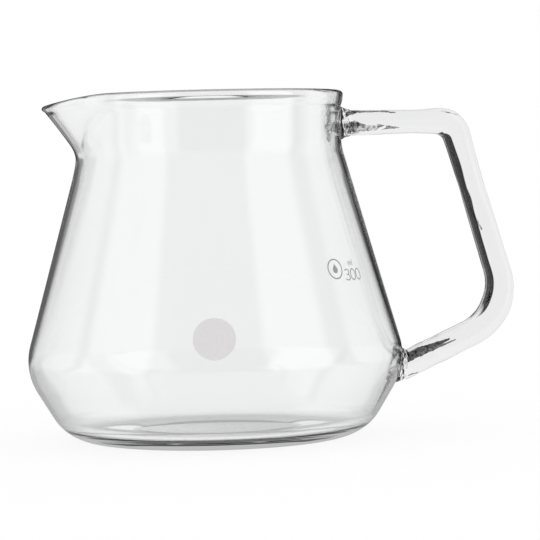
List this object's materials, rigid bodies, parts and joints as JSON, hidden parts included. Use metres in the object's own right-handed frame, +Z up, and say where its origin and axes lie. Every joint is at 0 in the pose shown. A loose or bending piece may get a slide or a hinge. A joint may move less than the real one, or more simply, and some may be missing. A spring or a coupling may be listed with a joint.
{
  "type": "coffee server carafe",
  "caption": "Clear glass coffee server with a wide conical belly, a short neck, a pulled pouring spout and a solid glass loop handle fused on.",
  "frame": {"origin": "middle of the foot, on the table, on the vessel's axis", "axes": "+Z up along the vessel's axis, +X towards the handle, -X towards the spout"},
  "size_m": [0.1328, 0.101, 0.093],
  "materials": {
    "blown_glass": "clear blown borosilicate glass, smooth inside and out",
    "bar_glass": "clear solid borosilicate rod, worked by hand, slightly wavy"
  },
  "bodies": {
    "root": {"vessel": "blown_glass", "handle": "bar_glass", "upper_joint": "bar_glass", "lower_joint": "bar_glass"}
  },
  "joints": []
}
